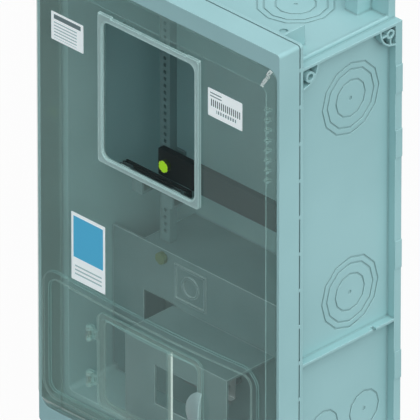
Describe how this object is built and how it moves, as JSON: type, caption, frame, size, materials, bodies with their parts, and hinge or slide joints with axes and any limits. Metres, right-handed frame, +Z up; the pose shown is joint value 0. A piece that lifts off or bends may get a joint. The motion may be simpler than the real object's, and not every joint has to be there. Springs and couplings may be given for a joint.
{
  "type": "electric meter box",
  "caption": "Wall-mounted electric meter box with a smoked lift-off lid, meter window, hinged breaker door, adjustable meter support and conduit knockouts.",
  "frame": {"origin": "centre of the wall fixings, on the wall plane", "axes": "+X to the box's right as seen from the front, +Y back to the wall, +Z up"},
  "size_m": [0.344, 0.1908, 0.56],
  "materials": {
    "pale_grey_plastic": "satin moulded",
    "inner_grey_plastic": "satin moulded",
    "bezel_plastic": "satin moulded",
    "smoked_polycarbonate": "glossy, see-through",
    "clear_polycarbonate": "glossy, clear",
    "black_plastic": "satin moulded",
    "green_plastic": "glossy moulded",
    "seal_rubber": "matt",
    "steel": "zinc plated"
  },
  "bodies": {
    "base": {"base_box": "pale_grey_plastic", "inner_shroud": "inner_grey_plastic", "breaker_mask": "inner_grey_plastic", "din_rail": "steel", "din_rail_spacers": "black_plastic", "din_rail_screws": "steel", "meter_rail_left": "inner_grey_plastic", "meter_rail_right": "inner_grey_plastic"},
    "lid": {"front_frame": "pale_grey_plastic", "main_cover": "smoked_polycarbonate", "lid_seal": "seal_rubber", "window_bezel": "bezel_plastic", "window_lens": "clear_polycarbonate", "door_hinge_pins": "steel"},
    "door": {"breaker_door": "smoked_polycarbonate"},
    "crossbar": {"meter_crossbar": "black_plastic", "clamp_plate_left": "steel", "clamp_plate_right": "steel", "shelf_arm_left": "bezel_plastic", "shelf_arm_right": "bezel_plastic", "meter_shelf": "black_plastic"},
    "crossbar_knob_left": {"crossbar_thumbscrew_left": "green_plastic"},
    "crossbar_knob_right": {"crossbar_thumbscrew_right": "green_plastic"},
    "shroud_knob_left": {"shroud_thumbscrew_left": "green_plastic"},
    "shroud_knob_right": {"shroud_thumbscrew_right": "green_plastic"}
  },
  "joints": [
    {"name": "lid_lift", "type": "slide", "parent": "base", "child": "lid", "axis": [0, -1, 0], "range_m": [0, 0.25]},
    {"name": "door_hinge", "type": "hinge", "parent": "lid", "child": "door", "pos_m": [-0.084, -0.1872, -0.163], "axis": [0, 0, -1], "range_deg": [0, 110]},
    {"name": "crossbar_slide", "type": "slide", "parent": "base", "child": "crossbar", "axis": [0, 0, 1], "range_m": [-0.07, 0.19]},
    {"name": "crossbar_knob_left_turn", "type": "hinge", "parent": "crossbar", "child": "crossbar_knob_left", "pos_m": [-0.0858, -0.075, 0.012], "axis": [0, -1, 0], "continuous": true},
    {"name": "shroud_knob_left_turn", "type": "hinge", "parent": "base", "child": "shroud_knob_left", "pos_m": [-0.086, -0.08, -0.093], "axis": [0, -1, 0], "continuous": true},
    {"name": "crossbar_knob_right_turn", "type": "hinge", "parent": "crossbar", "child": "crossbar_knob_right", "pos_m": [0.0858, -0.075, 0.012], "axis": [0, -1, 0], "continuous": true},
    {"name": "shroud_knob_right_turn", "type": "hinge", "parent": "base", "child": "shroud_knob_right", "pos_m": [0.086, -0.08, -0.093], "axis": [0, -1, 0], "continuous": true}
  ]
}
